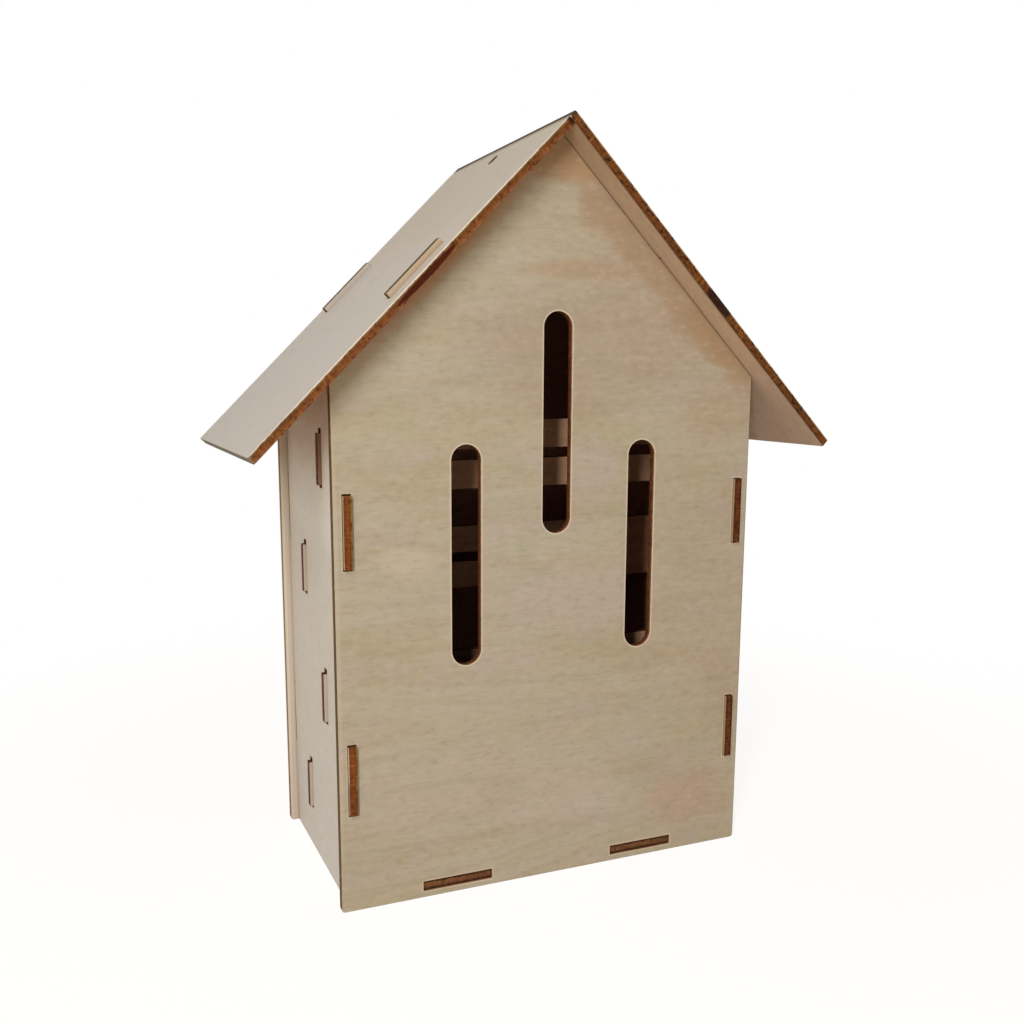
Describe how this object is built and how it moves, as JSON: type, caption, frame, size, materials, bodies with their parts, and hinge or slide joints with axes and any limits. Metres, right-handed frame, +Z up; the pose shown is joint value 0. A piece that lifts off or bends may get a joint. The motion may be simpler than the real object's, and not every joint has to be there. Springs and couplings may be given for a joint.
{
  "type": "bat box",
  "caption": "Bat box of flat laser-cut plywood pieces joined by tabs in slots, with a steep gabled roof, upright entrance slots and level roosting slats inside.",
  "frame": {"origin": "on the ground under the middle of the box, half way between the front and rear edges of the roof", "axes": "+Z up, -Y out of the front board with the entrance slots, +X to the right as seen from the front, along the width"},
  "size_m": [0.2028, 0.1, 0.2492],
  "materials": {
    "board_plywood": "raw birch plywood sanded smooth, laser-cut edges burnt dark brown",
    "side_plywood": "raw pale birch plywood sanded smooth, laser-cut edges burnt dark brown",
    "roof_plywood": "raw pale greyish birch plywood sanded smooth, laser-cut edges burnt dark brown",
    "slat_plywood": "raw birch plywood, laser-cut edges burnt dark brown"
  },
  "bodies": {
    "root": {"front_board": "board_plywood", "back_board": "board_plywood", "left_side_panel": "side_plywood", "right_side_panel": "side_plywood", "base_panel": "board_plywood", "roost_slat_1": "slat_plywood", "roost_slat_2": "slat_plywood", "roost_slat_3": "slat_plywood", "roost_slat_4": "slat_plywood", "roof_panel_left": "roof_plywood", "roof_panel_right": "roof_plywood"}
  },
  "joints": []
}
